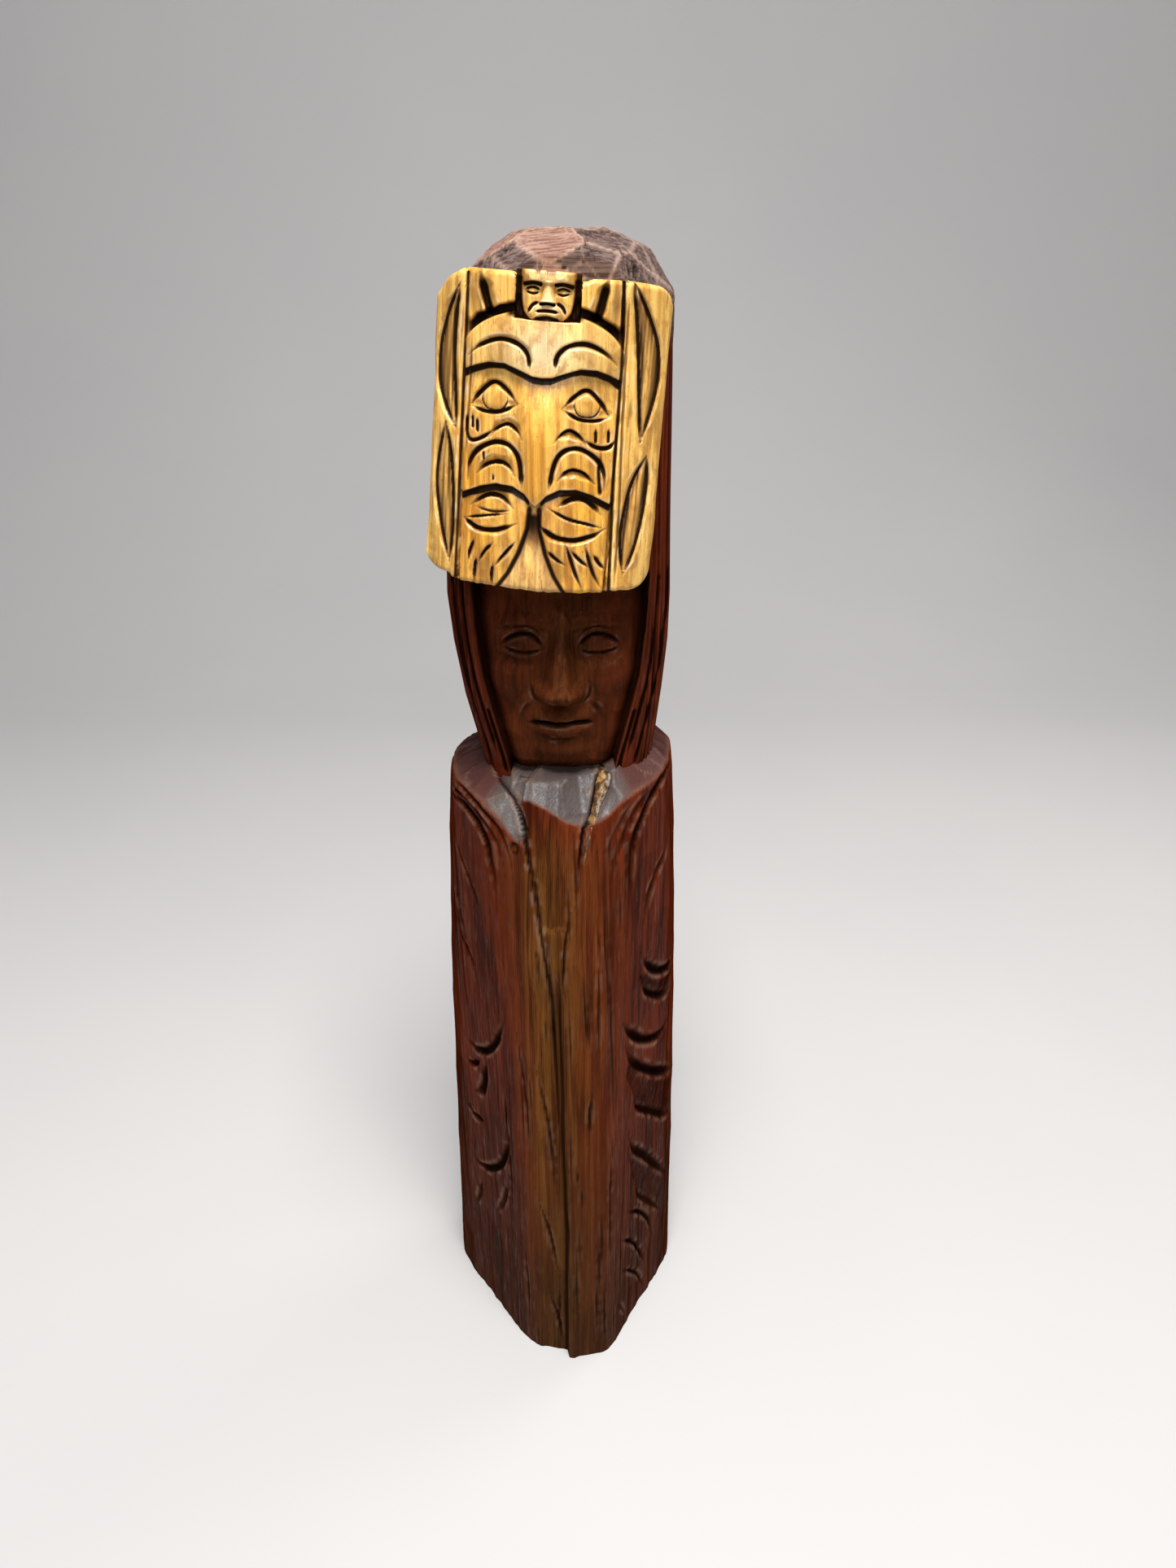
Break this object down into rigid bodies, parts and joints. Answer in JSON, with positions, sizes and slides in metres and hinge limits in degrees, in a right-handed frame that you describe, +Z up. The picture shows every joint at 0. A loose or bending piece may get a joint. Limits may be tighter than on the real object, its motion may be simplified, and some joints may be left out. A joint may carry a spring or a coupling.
{
  "type": "carved standing figure",
  "caption": "Carved wooden standing figure in a wrapped robe, wearing a curved relief frontlet plaque over its forehead; ornament that stands on a flat base.",
  "frame": {"origin": "middle of the footprint, on the floor plane", "axes": "+Z up along the figure, the figure faces -Y, +X to the viewer's right"},
  "size_m": [0.101, 0.1071, 0.46],
  "materials": {
    "dark_stained_wood": "dark red-brown stain under gloss varnish",
    "yellow_wood": "golden yellow, satin, brown stain in the cuts",
    "crest_wood": "golden brown, satin",
    "dowel_wood": "plain pale wood",
    "wood_filler": "gold-brown hard filler"
  },
  "bodies": {
    "root": {"figure": "dark_stained_wood", "frontlet_plaque": "yellow_wood", "crest_face": "crest_wood", "upper_dowel": "dowel_wood", "lower_dowel": "dowel_wood", "neck_crack_fill": "wood_filler"}
  },
  "joints": []
}
